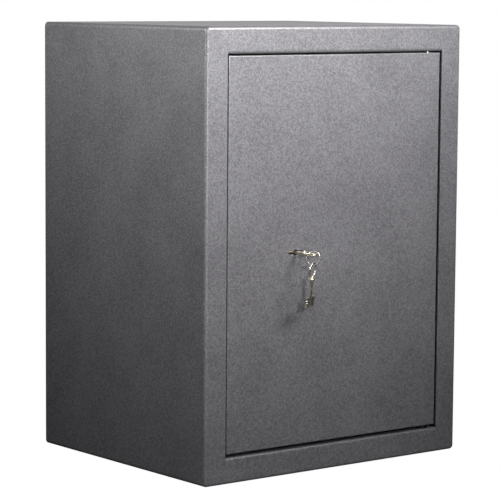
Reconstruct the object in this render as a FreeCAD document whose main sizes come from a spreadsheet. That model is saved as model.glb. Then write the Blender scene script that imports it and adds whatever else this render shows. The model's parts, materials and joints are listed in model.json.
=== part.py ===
"""Upright steel safe with a key lock, as a parametric FreeCAD document.

The cabinet is one wrapped steel sheet with a folded front frame and a welded back. A flush door turns
on two concealed pivots at the right. A double-bit key turns a curtain, whose bit slides the boltwork to
the left, behind the front frame.

The frame: X to the right, Y to the back, Z up, in millimetres. The origin is the centre of the
cabinet's bottom face.
"""
import FreeCAD, Part
import os

import Sketcher
from FreeCAD import Placement, Rotation, Vector

doc = FreeCAD.newDocument("Safe")

# ---------------------------------------------------------------------------------------------
# Driving dimensions
# ---------------------------------------------------------------------------------------------

DIMENSIONS = {
    # cabinet
    "width": 445,
    "depth": 375,
    "height": 600,
    "wall": 3,
    "wrap_bend": 6,
    "face_bend": 4.5,
    "opening_left": -188,
    "opening_right": 187.5,
    "opening_low": 35,
    "opening_high": 564,
    "lip_depth": 22,
    "lip_bend": 3.5,
    "back_gap": 0.2,
    "anchor_radius": 6,
    "anchor_span_x": 260,
    "anchor_span_y": 200,
    "anchor_span_z": 340,
    "anchor_middle_z": 300,
    "strike_depth": 3.5,
    "strike_gap": 2,
    "strike_short": 10,
    # door
    "door_left": -186.2,
    "door_right": 183.5,
    "door_low": 40,
    "door_high": 562,
    "door_plate": 4,
    "door_edge": 3,
    "door_deep": 25,
    "door_bend": 1.5,
    # pivots
    "pivot_x": 170,
    "pivot_set": 11,
    "pin_radius": 4,
    "pin_play": 0.06,
    "pin_reach": 18,
    "pin_proud": 2,
    "bush_radius": 5,
    "block_side": 20,
    "block_tall": 22,
    "block_deep": 18,
    "washer_wide": 3,
    "washer_play": 0.1,
    "boss_radius": 7.5,
    "boss_tall": 6,
    "rail_thick": 3,
    "rail_leg": 12,
    "rail_reach": 9,
    "rail_short": 60,
    # lock
    "lock_x": -71.5,
    "lock_z": 300,
    "lock_wall": 1.5,
    "lock_deep": 18,
    "lock_left": 26,
    "lock_right": 28,
    "lock_low": 32,
    "lock_high": 44,
    "slot_half": 12.8,
    "slot_tall": 4.6,
    "hole_radius": 4,
    "curtain_radius": 6.2,
    "lever_thick": 1.3,
    "lever_pitch": 1.8,
    "lever_window": 13,
    "post_radius": 3,
    "post_rise": 35,
    "post_aside": 15.5,
    "lever_left": 18.5,
    "lever_right": 20.8,
    "lever_low": 2,
    "lever_high": 40,
    "gate_rise": 19,
    "gate_tall": 4.4,
    "gate_end": 9,
    "spring_gap": 1,
    "spring_thick": 0.5,
    "spring_foot": 0.8,
    "lock_bolt_low": 24,
    "lock_bolt_high": 6.8,
    "lock_bolt_thick": 3,
    "lock_bolt_play": 0.2,
    "mouth_play": 0.4,
    "talon_left": 9.8,
    "talon_right": 16.4,
    "talon_low": 13,
    "relief_end": 5.5,
    # boltwork
    "throw": 12,
    "bolt_radius": 8,
    "bolt_back": 15.5,
    "bolt_rise": 190,
    "bolt_play": 0.3,
    "bar_x": -158,
    "bar_thick": 3,
    "bar_wide": 26,
    "guide_radius": 3,
    "guide_rise": 120,
    "middle_bolt_drop": 60,
    "bar_beyond": 30,
    # keys
    "shank_radius": 2.3,
    "bit_radius": 12,
    "bit_thick": 2.6,
    "bit_long": 13.6,
    "key_inside": 22.5,
    "tip_long": 3,
    "collar_out": 16.5,
    "collar_long": 2.5,
    "collar_radius": 4,
    "bow_middle": 31,
    "bow_long": 20.4,
    "bow_wide": 20,
    "bow_rim": 2,
    "bow_thick": 1.8,
    "wire_radius": 0.55,
    "ring_radius": 9,
    "ring_out": 35.75,
    "ring_above": 4.6,
    "spare_lean": 7,
    "spare_turn": 25,
    # shelf and covers
    "shelf_z": 322,
    "shelf_thick": 1.5,
    "shelf_fold": 18,
    "shelf_hem": 12,
    "shelf_screw_back": 70,
    "shelf_screw_front": 240,
    "shelf_deep": 300,
    "shelf_gap": 1,
    "bracket": 22,
    "bracket_thick": 2,
    "bracket_long": 260,
    "bracket_set": 20,
    "cover_thick": 1.5,
    "cover_set": 12,
    "cover_aside": 24,
    "cover_middle": 60,
    "cover_play": 0.3,
    "post_thick": 4.5,
    "screw_radius": 2.5,
    "screw_head": 4.75,
    "screw_rise": 2.6,
}

sheet = doc.addObject("Spreadsheet::Sheet", "Sizes")
for row, (word, number) in enumerate(DIMENSIONS.items(), start=1):
    sheet.set(f"A{row}", word)
    sheet.set(f"B{row}", str(number))
    sheet.setAlias(f"B{row}", word)
doc.recompute()


def bound(words):
    """Turns a formula in the sheet's words into one that an expression can read."""
    out = []
    for token in words.replace("(", " ( ").replace(")", " ) ").split():
        out.append(f"Sizes.{token}" if token in DIMENSIONS else token)
    return " ".join(out)


def value(words):
    """The number that a formula in the sheet's words comes to, for code that sets a shape itself."""
    cell = f"D{value.row}"
    value.row += 1
    sheet.set(cell, "=" + words)
    sheet.recompute()
    return float(sheet.get(cell))


value.row = 1

# Often used planes, as formulas: the front face, the back of the front sheet, the back of the door.
FRONT = "( - depth / 2 )"
FRAME_BACK = "( wall - depth / 2 )"
PLATE_BACK = "( door_plate - depth / 2 )"
DOOR_BACK = "( door_deep - depth / 2 )"
PIVOT_Y = "( pivot_set - depth / 2 )"
BOLT_Y = "( bolt_back - depth / 2 )"
LOCK_BACK = "( door_plate + lock_deep - depth / 2 )"
BOLT_BACK = f"( {LOCK_BACK} - lock_wall - lock_bolt_play )"
BOLT_FRONT = f"( {BOLT_BACK} - lock_bolt_thick )"

nodes = []


def keep(feature, label):
    """Names a finished sub-part and puts it on the list of files to write."""
    feature.Label = label
    nodes.append(feature)
    return feature


# ---------------------------------------------------------------------------------------------
# Makers of primitives, with every size and place bound to the sheet
# ---------------------------------------------------------------------------------------------

def block(name, low_x, high_x, low_y, high_y, low_z, high_z):
    """A box between two corners."""
    box = doc.addObject("Part::Box", name)
    sides = (("x", "Length", low_x, high_x), ("y", "Width", low_y, high_y), ("z", "Height", low_z, high_z))
    for axis, side, low, high in sides:
        box.setExpression(side, bound(f"( {high} ) - ( {low} )"))
        box.setExpression(f"Placement.Base.{axis}", bound(low))
    return box


TURNS = {
    "x": Rotation(Vector(0, 1, 0), 90),
    "y": Rotation(Vector(1, 0, 0), -90),
    "z": Rotation(),
}


def rod(name, axis, radius, length, base_x, base_y, base_z):
    """A cylinder that starts at a base point and runs along +X, +Y or +Z."""
    cylinder = doc.addObject("Part::Cylinder", name)
    cylinder.Placement = Placement(Vector(), TURNS[axis])
    cylinder.setExpression("Radius", bound(radius))
    cylinder.setExpression("Height", bound(length))
    for letter, words in zip("xyz", (base_x, base_y, base_z)):
        cylinder.setExpression(f"Placement.Base.{letter}", bound(words))
    return cylinder


def cut(name, base, *tools):
    """One solid with others taken away."""
    feature = doc.addObject("Part::Cut", name)
    feature.Base = base
    feature.Tool = tools[0] if len(tools) == 1 else fuse(name + "Tools", *tools)
    return feature


def fuse(name, *shapes):
    """Several solids joined into one."""
    feature = doc.addObject("Part::MultiFuse", name)
    feature.Shapes = list(shapes)
    return feature


def group(name, shapes):
    """Separate solids kept together, for identical fasteners."""
    feature = doc.addObject("Part::Compound", name)
    feature.Links = list(shapes)
    return feature


def screw(name, axis, place, length, head="screw_head", rise="screw_rise", radius="screw_radius"):
    """A cap screw whose head stands on the + side of its seat, with its shank on the - side."""
    x, y, z = place
    back = {"x": (f"{x} - ( {length} )", y, z), "y": (x, f"{y} - ( {length} )", z),
            "z": (x, y, f"{z} - ( {length} )")}[axis]
    shank = rod(name + "Shank", axis, radius, f"( {length} ) + {rise} / 4", *back)
    cap = rod(name + "Cap", axis, head, rise, x, y, z)
    top = {"x": (f"{x} + {rise} / 2", y, z), "y": (x, f"{y} + {rise} / 2", z),
           "z": (x, y, f"{z} + {rise} / 2")}[axis]
    socket = doc.addObject("Part::Prism", name + "Socket")
    socket.Polygon = 6
    socket.Placement = Placement(Vector(), TURNS[axis])
    socket.setExpression("Circumradius", bound(f"{radius} * 0.6"))
    socket.setExpression("Height", bound(rise))
    for letter, words in zip("xyz", top):
        socket.setExpression(f"Placement.Base.{letter}", bound(words))
    return cut(name, fuse(name + "Solid", shank, cap), socket)


# ---------------------------------------------------------------------------------------------
# Makers of PartDesign features
# ---------------------------------------------------------------------------------------------

def new_body(name):
    """A body whose sketches stand on its own origin planes."""
    return doc.addObject("PartDesign::Body", name)


def new_sketch(body, role, level):
    """A sketch on an origin plane, moved along the plane's normal to a level."""
    sketch = body.newObject("Sketcher::SketchObject", body.Name + "Sketch")
    plane = next(f for f in body.Origin.OriginFeatures if f.Role == role)
    sketch.AttachmentSupport = [(plane, "")]
    sketch.MapMode = "FlatFace"
    sign = "-" if role == "XZ_Plane" else ""
    sketch.setExpression("AttachmentOffset.Base.z", bound(f"{sign} ( {level} )"))
    return sketch


def draw_outline(sketch, corners):
    """A closed outline of straight lines. Each corner is a pair of formulas."""
    points = [Vector(value(u), value(v), 0) for u, v in corners]
    lines = []
    for index, point in enumerate(points):
        following = points[(index + 1) % len(points)]
        lines.append(sketch.addGeometry(Part.LineSegment(point, following), False))
    for index, line in enumerate(lines):
        joined = lines[(index + 1) % len(lines)]
        sketch.addConstraint(Sketcher.Constraint("Coincident", line, 2, joined, 1))
    for line, point, words in zip(lines, points, corners):
        for kind, number, formula in zip(("DistanceX", "DistanceY"), (point.x, point.y), words):
            made = sketch.addConstraint(Sketcher.Constraint(kind, -1, 1, line, 1, number))
            sketch.setExpression(f"Constraints[{made}]", bound(formula))


def draw_rectangle(sketch, low_u, high_u, low_v, high_v):
    """A rectangle between two corners."""
    draw_outline(sketch, ((low_u, low_v), (high_u, low_v), (high_u, high_v), (low_u, high_v)))


def draw_circle(sketch, middle_u, middle_v, radius):
    """A circle about a middle point."""
    middle = Vector(value(middle_u), value(middle_v), 0)
    circle = sketch.addGeometry(Part.Circle(middle, Vector(0, 0, 1), value(radius)), False)
    for kind, number, formula in (("DistanceX", middle.x, middle_u), ("DistanceY", middle.y, middle_v)):
        made = sketch.addConstraint(Sketcher.Constraint(kind, -1, 1, circle, 3, number))
        sketch.setExpression(f"Constraints[{made}]", bound(formula))
    made = sketch.addConstraint(Sketcher.Constraint("Radius", circle, value(radius)))
    sketch.setExpression(f"Constraints[{made}]", bound(radius))


def sweep(body, kind, sketch, length, towards_back=True):
    """A Pad or Pocket of a sketch. On XZ, towards_back runs it to +Y, on the others to + normal."""
    feature = body.newObject(f"PartDesign::{kind}", body.Name + kind)
    feature.Profile = sketch
    feature.setExpression("Length", bound(length))
    along_normal = "YZ" in sketch.AttachmentSupport[0][0].Role or "XY" in sketch.AttachmentSupport[0][0].Role
    outward = towards_back if along_normal else not towards_back
    feature.Reversed = not outward if kind == "Pad" else outward
    before = body.Shape.Volume if body.Shape.Solids else 0
    doc.recompute()
    changed = body.Shape.Volume - before
    if (kind == "Pad" and changed <= 0) or (kind == "Pocket" and changed >= 0):
        raise RuntimeError(f"{feature.Name} changed nothing")
    return feature


def round_edges(body, radius, chosen):
    """A fillet on every edge of the body that a test picks."""
    base = body.Tip
    names = [f"Edge{i}" for i, edge in enumerate(base.Shape.Edges, start=1) if chosen(edge)]
    fillet = body.newObject("PartDesign::Fillet", body.Name + "Fillet")
    fillet.Base = (base, names)
    fillet.setExpression("Radius", bound(radius))
    doc.recompute()
    return fillet


def runs_along(edge, axis):
    """Whether a straight edge runs along X, Y or Z."""
    if edge.Curve.TypeId != "Part::GeomLine":
        return False
    direction = edge.Curve.Direction
    return abs(getattr(direction, axis)) > 0.999


def near(number, words, slack=0.01):
    """Whether a number is what a formula in the sheet's words comes to."""
    return abs(number - value(words)) < slack


# ---------------------------------------------------------------------------------------------
# Cabinet
# ---------------------------------------------------------------------------------------------

def make_body_wrap():
    """Side walls, top, bottom and front frame: one folded sheet, with a lip along the top and bottom."""
    body = new_body("BodyWrap")
    outer = new_sketch(body, "XZ_Plane", FRONT)
    draw_rectangle(outer, "- width / 2", "width / 2", "0", "height")
    sweep(body, "Pad", outer, "depth")
    round_edges(body, "wrap_bend", lambda edge: runs_along(edge, "y"))
    inner = new_sketch(body, "XZ_Plane", FRAME_BACK)
    draw_rectangle(inner, "wall - width / 2", "width / 2 - wall", "wall", "height - wall")
    sweep(body, "Pocket", inner, "depth")
    inner_x = value("width / 2 - wall")
    middle_y = value("wall / 2")
    round_edges(body, "wrap_bend - wall", lambda edge: runs_along(edge, "y")
                and abs(abs(edge.CenterOfMass.x) - inner_x) < 0.01
                and abs(edge.CenterOfMass.y - middle_y) < 0.01)
    opening = new_sketch(body, "XZ_Plane", FRONT)
    draw_rectangle(opening, "opening_left", "opening_right", "opening_low", "opening_high")
    sweep(body, "Pocket", opening, "wall")
    for low, high in (("opening_low - wall", "opening_low"), ("opening_high", "opening_high + wall")):
        lip = new_sketch(body, "XZ_Plane", FRONT + " + wall / 2")
        draw_rectangle(lip, "opening_left", "opening_right", low, high)
        sweep(body, "Pad", lip, "lip_depth - wall / 2")
    front_y = value(FRONT)
    round_edges(body, "lip_bend - 0.5", lambda edge: runs_along(edge, "x")
                and abs(edge.CenterOfMass.y - front_y) < 0.01
                and (near(edge.CenterOfMass.z, "opening_low") or near(edge.CenterOfMass.z, "opening_high")))
    round_edges(body, "face_bend", lambda edge: abs(edge.BoundBox.YMin - front_y) < 0.01
                and abs(edge.BoundBox.YMax - front_y) < 0.01
                and near(abs(edge.CenterOfMass.x), "width / 2") and runs_along(edge, "z"))
    for side_x in ("- anchor_span_x / 2", "anchor_span_x / 2"):
        for side_y in ("- anchor_span_y / 2", "anchor_span_y / 2"):
            hole = new_sketch(body, "XY_Plane", "wall * 2")
            draw_circle(hole, side_x, side_y, "anchor_radius")
            sweep(body, "Pocket", hole, "wall * 3", towards_back=False)
    return keep(body, "body_wrap")


def make_back_panel():
    """The flat back, set inside the wrap and welded round its edge, with four anchor holes."""
    body = new_body("BackPanel")
    outline = new_sketch(body, "XZ_Plane", "depth / 2 - wall - back_gap")
    draw_rectangle(outline, "wall - width / 2", "width / 2 - wall", "wall", "height - wall")
    sweep(body, "Pad", outline, "wall")
    round_edges(body, "wrap_bend - wall", lambda edge: runs_along(edge, "y"))
    for side_x in ("- anchor_span_x / 2", "anchor_span_x / 2"):
        for side_z in ("anchor_middle_z - anchor_span_z / 2", "anchor_middle_z + anchor_span_z / 2"):
            hole = new_sketch(body, "XZ_Plane", "depth / 2 - wall * 2")
            draw_circle(hole, side_x, side_z, "anchor_radius")
            sweep(body, "Pocket", hole, "wall * 3")
    return keep(body, "back_panel")


def make_strike_bar():
    """Flat bar welded behind the left side of the frame: the bolts lock behind it."""
    bar = block("StrikeBar", "wall - width / 2", "opening_left - strike_gap", FRAME_BACK,
                FRAME_BACK + " + strike_depth", "opening_low + strike_short", "opening_high - strike_short")
    return keep(bar, "strike_bar")


def make_pivots():
    """Both pivot pins, welded through the frame's lips, and the bosses round them."""
    y = PIVOT_Y
    lip_top = "opening_high + wall"
    lip_under = "opening_low - wall"
    keep(rod("PinTop", "z", "pin_radius", "pin_reach + wall + boss_tall + pin_proud", "pivot_x", y,
             "opening_high - pin_reach"), "hinge_pin_top")
    keep(rod("PinBottom", "z", "pin_radius", "pin_reach + wall + boss_tall + door_low - opening_low",
             "pivot_x", y, "opening_low - wall - boss_tall"), "hinge_pin_bottom")
    for name, label, base in (("BossTop", "pin_boss_top", lip_top),
                              ("BossBottom", "pin_boss_bottom", f"{lip_under} - boss_tall")):
        collar = rod(name + "Solid", "z", "boss_radius", "boss_tall", "pivot_x", y, base)
        bore = rod(name + "Bore", "z", "pin_radius", "boss_tall + 2", "pivot_x", y, f"{base} - 1")
        keep(cut(name, collar, bore), label)


def drill_lips(wrap):
    """The holes in the lips that the pivot pins are welded in."""
    for level in ("opening_low + 1", "opening_high + wall + 1"):
        hole = new_sketch(wrap, "XY_Plane", level)
        draw_circle(hole, "pivot_x", PIVOT_Y, "pin_radius")
        sweep(wrap, "Pocket", hole, "wall + 2", towards_back=False)


def make_shelf():
    """Shelf of folded sheet, the two angles it stands on, and its four screws."""
    shelf_front = "depth / 2 - wall * 2 - shelf_deep"
    shelf_back = "depth / 2 - wall * 2 - shelf_gap"
    inner = "( width / 2 - wall - shelf_gap )"
    slab = block("ShelfTop", f"- {inner}", inner, shelf_front, shelf_back, "shelf_z - shelf_thick", "shelf_z")
    apron = block("ShelfApron", f"- {inner}", inner, shelf_front, f"{shelf_front} + shelf_thick",
                  "shelf_z - shelf_fold", "shelf_z")
    hem = block("ShelfHem", f"- {inner}", inner, shelf_front, f"{shelf_front} + shelf_hem",
                "shelf_z - shelf_fold", "shelf_z - shelf_fold + shelf_thick")
    folded = fuse("ShelfFolded", slab, apron, hem)
    seat = "( shelf_z - shelf_thick )"
    places = []
    for sign in ("-", ""):
        for y in ("depth / 2 - shelf_screw_back", "depth / 2 - shelf_screw_front"):
            places.append((f"{sign} ( width / 2 - wall - bracket / 2 )", y, "shelf_z"))
    holes = [rod(f"ShelfHole{i}", "z", "screw_radius + 0.2", "shelf_thick + 2", x, y, f"{seat} - 1")
             for i, (x, y, z) in enumerate(places)]
    keep(cut("Shelf", folded, *holes), "shelf")
    screws = [screw(f"ShelfScrew{i}", "z", place, "shelf_thick + bracket_thick + 4")
              for i, place in enumerate(places)]
    keep(group("ShelfScrews", screws), "shelf_screws")
    for side, label in (("-", "shelf_bracket_left"), ("", "shelf_bracket_right")):
        wall_x = f"{side} ( width / 2 - wall )"
        inside_x = f"{side} ( width / 2 - wall - bracket_thick )"
        tip_x = f"{side} ( width / 2 - wall - bracket )"
        upright_sides = (wall_x, inside_x) if side else (inside_x, wall_x)
        ledge_sides = (wall_x, tip_x) if side else (tip_x, wall_x)
        ends = ("depth / 2 - bracket_set - bracket_long", "depth / 2 - bracket_set")
        upright = block(label + "Upright", *upright_sides, *ends, f"{seat} - bracket", seat)
        ledge = block(label + "Ledge", *ledge_sides, *ends, f"{seat} - bracket_thick", seat)
        drills = [rod(f"{label}Hole{i}", "z", "screw_radius", "bracket_thick + 2", x, y,
                      f"{seat} - bracket_thick - 1")
                  for i, (x, y, z) in enumerate(places) if x.startswith("-") == bool(side)]
        keep(cut(label, fuse(label + "Angle", upright, ledge), *drills), label)


# ---------------------------------------------------------------------------------------------
# Door
# ---------------------------------------------------------------------------------------------

BOLT_LEVELS = ("lock_z - bolt_rise", "lock_z - middle_bolt_drop", "lock_z + bolt_rise")
BOLT_LABELS = ("bolt_bottom", "bolt_middle", "bolt_top")


def make_door_panel():
    """The face plate with four folded edges, the keyhole, the bolt holes and the pin holes."""
    body = new_body("DoorPanel")
    outline = new_sketch(body, "XZ_Plane", FRONT)
    draw_rectangle(outline, "door_left", "door_right", "door_low", "door_high")
    sweep(body, "Pad", outline, "door_deep")
    hollow = new_sketch(body, "XZ_Plane", PLATE_BACK)
    draw_rectangle(hollow, "door_left + door_edge", "door_right - door_edge",
                   "door_low + door_edge", "door_high - door_edge")
    sweep(body, "Pocket", hollow, "door_deep")
    front_y = value(FRONT)
    round_edges(body, "door_bend", lambda edge: edge.BoundBox.YMax - front_y < 0.01)
    slot = new_sketch(body, "XZ_Plane", FRONT + " - 1")
    draw_rectangle(slot, "lock_x - slot_half", "lock_x + slot_half",
                   "lock_z - slot_tall / 2", "lock_z + slot_tall / 2")
    sweep(body, "Pocket", slot, "door_plate + 2")
    round_edges(body, "slot_tall / 2 - 0.3", lambda edge: runs_along(edge, "y")
                and near(abs(edge.CenterOfMass.x - value("lock_x")), "slot_half"))
    eye = new_sketch(body, "XZ_Plane", FRONT + " - 1")
    draw_circle(eye, "lock_x", "lock_z", "hole_radius")
    sweep(body, "Pocket", eye, "door_plate + 2")
    for level in BOLT_LEVELS:
        hole = new_sketch(body, "YZ_Plane", "door_left + door_edge + 1")
        draw_circle(hole, BOLT_Y, level, "bolt_radius + bolt_play")
        sweep(body, "Pocket", hole, "door_edge + 2", towards_back=False)
    for level in ("door_low + door_edge + 1", "door_high + 1"):
        hole = new_sketch(body, "XY_Plane", level)
        draw_circle(hole, "pivot_x", PIVOT_Y, "bush_radius")
        sweep(body, "Pocket", hole, "door_edge + 2", towards_back=False)
    return keep(body, "door_panel")


def make_door_pivots():
    """Hinge blocks welded in the door's corners, the bushes in them and the washer the door rests on."""
    block_low = "( door_low + door_edge )"
    block_high = "( door_high - door_edge )"
    side = "( door_right - door_edge )"
    spots = (("Top", f"{block_high} - block_tall", block_high, "door_high"),
             ("Bottom", block_low, f"{block_low} + block_tall", f"{block_low} + block_tall"))
    for name, low, high, bush_high in spots:
        solid = block(f"HingeBlock{name}Solid", f"{side} - block_side", side, PLATE_BACK,
                      f"{PLATE_BACK} + block_deep", low, high)
        bore = rod(f"HingeBlock{name}Bore", "z", "bush_radius", "block_tall + 2", "pivot_x", PIVOT_Y,
                   f"{low} - 1")
        keep(cut(f"HingeBlock{name}", solid, bore), f"hinge_block_{name.lower()}")
        foot = f"{bush_high} - block_tall - door_edge"
        sleeve = rod(f"Bush{name}Sleeve", "z", "bush_radius", "block_tall + door_edge", "pivot_x", PIVOT_Y,
                     foot)
        hollow = rod(f"Bush{name}Bore", "z", "pin_radius + pin_play", "block_tall + door_edge + 2",
                     "pivot_x", PIVOT_Y, f"{foot} - 1")
        keep(cut(f"Bush{name}", sleeve, hollow), f"hinge_bush_{name.lower()}")
    disc = rod("WasherDisc", "z", "bush_radius + washer_wide", "door_low - opening_low - washer_play",
               "pivot_x", PIVOT_Y, "opening_low + washer_play")
    hole = rod("WasherHole", "z", "pin_radius + pin_play", "10", "pivot_x", PIVOT_Y, "opening_low - 1")
    keep(cut("ThrustWasher", disc, hole), "thrust_washer")


def make_anti_pry_rail():
    """Angle welded in the hinge edge of the door, whose lip stands behind the frame when it is closed."""
    inside = "( door_right - door_edge )"
    low = "door_low + rail_short"
    high = "door_high - rail_short"
    leg = block("RailLeg", f"{inside} - rail_thick", inside, f"{DOOR_BACK} - rail_leg",
                f"{DOOR_BACK} + rail_thick", low, high)
    lip = block("RailLip", f"{inside} - rail_thick", "door_right + rail_reach", DOOR_BACK,
                f"{DOOR_BACK} + rail_thick", low, high)
    keep(fuse("AntiPryRail", leg, lip), "anti_pry_rail")


def keyway(name, low_y, high_y, radius):
    """A round hole on the key's axis, to cut out of a plate."""
    return rod(name, "y", radius, f"( {high_y} ) - ( {low_y} )", "lock_x", low_y, "lock_z")


def make_lock():
    """Case, cap, lever post, levers with their springs, and the screws of the cap."""
    left, right = "( lock_x - lock_left )", "( lock_x + lock_right )"
    low, high = "( lock_z - lock_low )", "( lock_z + lock_high )"
    shell = block("LockShell", left, right, PLATE_BACK, f"{LOCK_BACK} - lock_wall", low, high)
    room = block("LockRoom", f"{left} + lock_wall", f"{right} - lock_wall", f"{PLATE_BACK} + lock_wall",
                 LOCK_BACK, f"{low} + lock_wall", f"{high} - lock_wall")
    mouth = block("LockMouth", f"{left} - 1", f"{left} + 4",
                  f"{LOCK_BACK} - lock_wall - lock_bolt_thick - mouth_play", LOCK_BACK,
                  "lock_z - lock_bolt_low - mouth_play", "lock_z - lock_bolt_high + mouth_play")
    keep(cut("LockCase", shell, room, mouth,
             keyway("LockCaseHole", f"{PLATE_BACK} - 1", f"{PLATE_BACK} + lock_wall + 1",
                    "slot_half + 0.2")), "lock_case")
    cap = block("LockCapSolid", left, right, f"{LOCK_BACK} - lock_wall", LOCK_BACK, low, high)
    hub = keyway("LockCapHole", f"{LOCK_BACK} - lock_wall - 1", f"{LOCK_BACK} + 1", "curtain_radius + 0.1")
    spots = [(f"lock_x {x}", LOCK_BACK, f"lock_z {z}")
             for x in ("- lock_left + 5", "+ lock_right - 5") for z in ("- lock_low + 4", "+ lock_high - 5")]
    drills = [rod(f"LockCapDrill{i}", "y", "1.5", "lock_wall + 2", x, f"{y} - lock_wall - 1", z)
              for i, (x, y, z) in enumerate(spots)]
    keep(cut("LockCap", cap, hub, *drills), "lock_cap")
    screws = [screw(f"LockScrew{i}", "y", spot, "lock_deep - lock_wall", "2.8", "1.6", "1.5")
              for i, spot in enumerate(spots)]
    keep(group("LockScrews", screws), "lock_screws")
    room_front = f"( {PLATE_BACK} + lock_wall )"
    keep(rod("LeverPost", "y", "post_radius", "lock_deep - lock_wall * 2", "lock_x + post_aside", room_front,
             "lock_z + post_rise"), "lever_post")
    for index in range(6):
        start = f"( {room_front} + 0.3 + lever_pitch * {index} )"
        end = f"( {start} + lever_thick )"
        plate = block(f"Lever{index}Plate", "lock_x - lever_left", "lock_x + lever_right", start, end,
                      "lock_z + lever_low", "lock_z + lever_high")
        window = keyway(f"Lever{index}Window", f"{start} - 1", f"{end} + 1", "lever_window")
        pivot = rod(f"Lever{index}Pivot", "y", "post_radius + 0.1", "4", "lock_x + post_aside",
                    f"{start} - 1", "lock_z + post_rise")
        gate_low = f"lock_z + gate_rise + {index % 3}"
        gate = block(f"Lever{index}Gate", "lock_x - lever_left - 1", "lock_x - gate_end", f"{start} - 1",
                     f"{end} + 1", gate_low, f"{gate_low} + gate_tall")
        keep(cut(f"Lever{index}", plate, window, pivot, gate), f"lever_{index + 1}")
        sides = (f"{start} + 0.2", f"{end} - 0.2")
        leaf = "( lock_z + lever_high + spring_gap )"
        blade = block(f"Spring{index}Blade", "0.5 + lock_x - lever_left", "lock_x + lever_right - 0.3",
                      *sides, leaf, f"{leaf} + spring_thick")
        foot = block(f"Spring{index}Foot", "lock_x + lever_right - 0.3 - spring_foot",
                     "lock_x + lever_right - 0.3", *sides, "lock_z + lever_high",
                     f"{leaf} + spring_thick / 2")
        keep(fuse(f"Spring{index}", blade, foot), f"lever_spring_{index + 1}")


def make_curtain():
    """Drum that turns with the key, with a slot that the key's bits stand out of."""
    front = f"( {PLATE_BACK} + lock_wall + 0.3 )"
    drum = rod("CurtainDrum", "y", "curtain_radius", f"{LOCK_BACK} + 2.5 - {front}", "lock_x", front,
               "lock_z")
    slot = block("CurtainSlot", "lock_x - 7", "lock_x + 7", f"{front} - 1",
                 "( key_inside - tip_long - depth / 2 + 0.3 )", "lock_z - bit_thick / 2 - 0.25",
                 "lock_z + bit_thick / 2 + 0.25")
    bore = rod("CurtainBore", "y", "shank_radius + 0.08", f"key_inside - depth / 2 + 0.3 - {front} + 1",
               "lock_x", f"{front} - 1", "lock_z")
    keep(cut("Curtain", drum, slot, bore), "curtain")


# ---------------------------------------------------------------------------------------------
# Boltwork
# ---------------------------------------------------------------------------------------------

GUIDE_LEVELS = ("lock_z - guide_rise", "lock_z + guide_rise")


def make_boltwork():
    """Lock bolt with its talon, the upright bar, three round bolts and the screws that join them."""
    tail = block("LockBoltTail", "bar_x - 9", "lock_x + 24", BOLT_FRONT, BOLT_BACK,
                 "lock_z - lock_bolt_low", "lock_z - lock_bolt_high")
    through = (f"{BOLT_FRONT} - 1", f"{BOLT_BACK} + 1", "lock_z - talon_low", "lock_z - 5")
    talon = block("LockBoltTalon", "lock_x + talon_left", "lock_x + talon_right", *through)
    relief = block("LockBoltRelief", "lock_x - lock_left - 14", "lock_x + relief_end", *through)
    trail = block("LockBoltTrail", "lock_x + talon_right - 0.4", "lock_x + 25", *through)
    link_z = "lock_z - 16"
    drill = rod("LinkDrill", "y", "screw_radius", "5", "bar_x", f"{BOLT_FRONT} - 1", link_z)
    keep(cut("LockBolt", tail, talon, relief, trail, drill), "lock_bolt")
    bar = block("BarSolid", "bar_x - bar_wide / 2", "bar_x + bar_wide / 2", f"{BOLT_FRONT} - bar_thick",
                BOLT_FRONT, "lock_z - bolt_rise - bar_beyond", "lock_z + bolt_rise + bar_beyond")
    slots = [block(f"BarSlot{i}", "bar_x - throw / 2 - guide_radius - bolt_play",
                   "bar_x + throw / 2 + guide_radius + bolt_play", f"{BOLT_FRONT} - 4", f"{BOLT_FRONT} + 1",
                   f"{level} - guide_radius - 0.2", f"{level} + guide_radius + 0.2")
             for i, level in enumerate(GUIDE_LEVELS)]
    bar_drills = [rod(f"BarDrill{i}", "y", "screw_radius", "6", "bar_x", f"{BOLT_FRONT} - bar_thick - 1", z)
                  for i, z in enumerate((link_z, *BOLT_LEVELS))]
    keep(cut("BoltBar", bar, *slots, *bar_drills), "bolt_bar")
    keep(screw("LinkScrew", "y", ("bar_x", BOLT_BACK, link_z), "bar_thick + 3", rise="1.8"), "link_screw")
    bolt_screws = []
    for i, (level, label) in enumerate(zip(BOLT_LEVELS, BOLT_LABELS)):
        shaft = rod(f"Bolt{i}Shaft", "x", "bolt_radius", "bar_x + 12 - ( door_left + 1 )", "door_left + 1",
                    BOLT_Y, level)
        flat = block(f"Bolt{i}Flat", "bar_x - bar_wide / 2 - 0.5", "bar_x + 13", f"{BOLT_Y} - 9",
                     BOLT_FRONT, f"{level} - 9", f"{level} + 9")
        tap = rod(f"Bolt{i}Tap", "y", "screw_radius", "20", "bar_x", f"{BOLT_Y} - 10", level)
        keep(cut(f"Bolt{i}", shaft, flat, tap), label)
        seat = ("bar_x", f"{BOLT_Y} + bolt_radius", level)
        bolt_screws.append(screw(f"BoltScrew{i}", "y", seat, "bolt_radius + 4", "4", "0.9"))
    keep(group("BoltScrews", bolt_screws), "bolt_screws")


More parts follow.
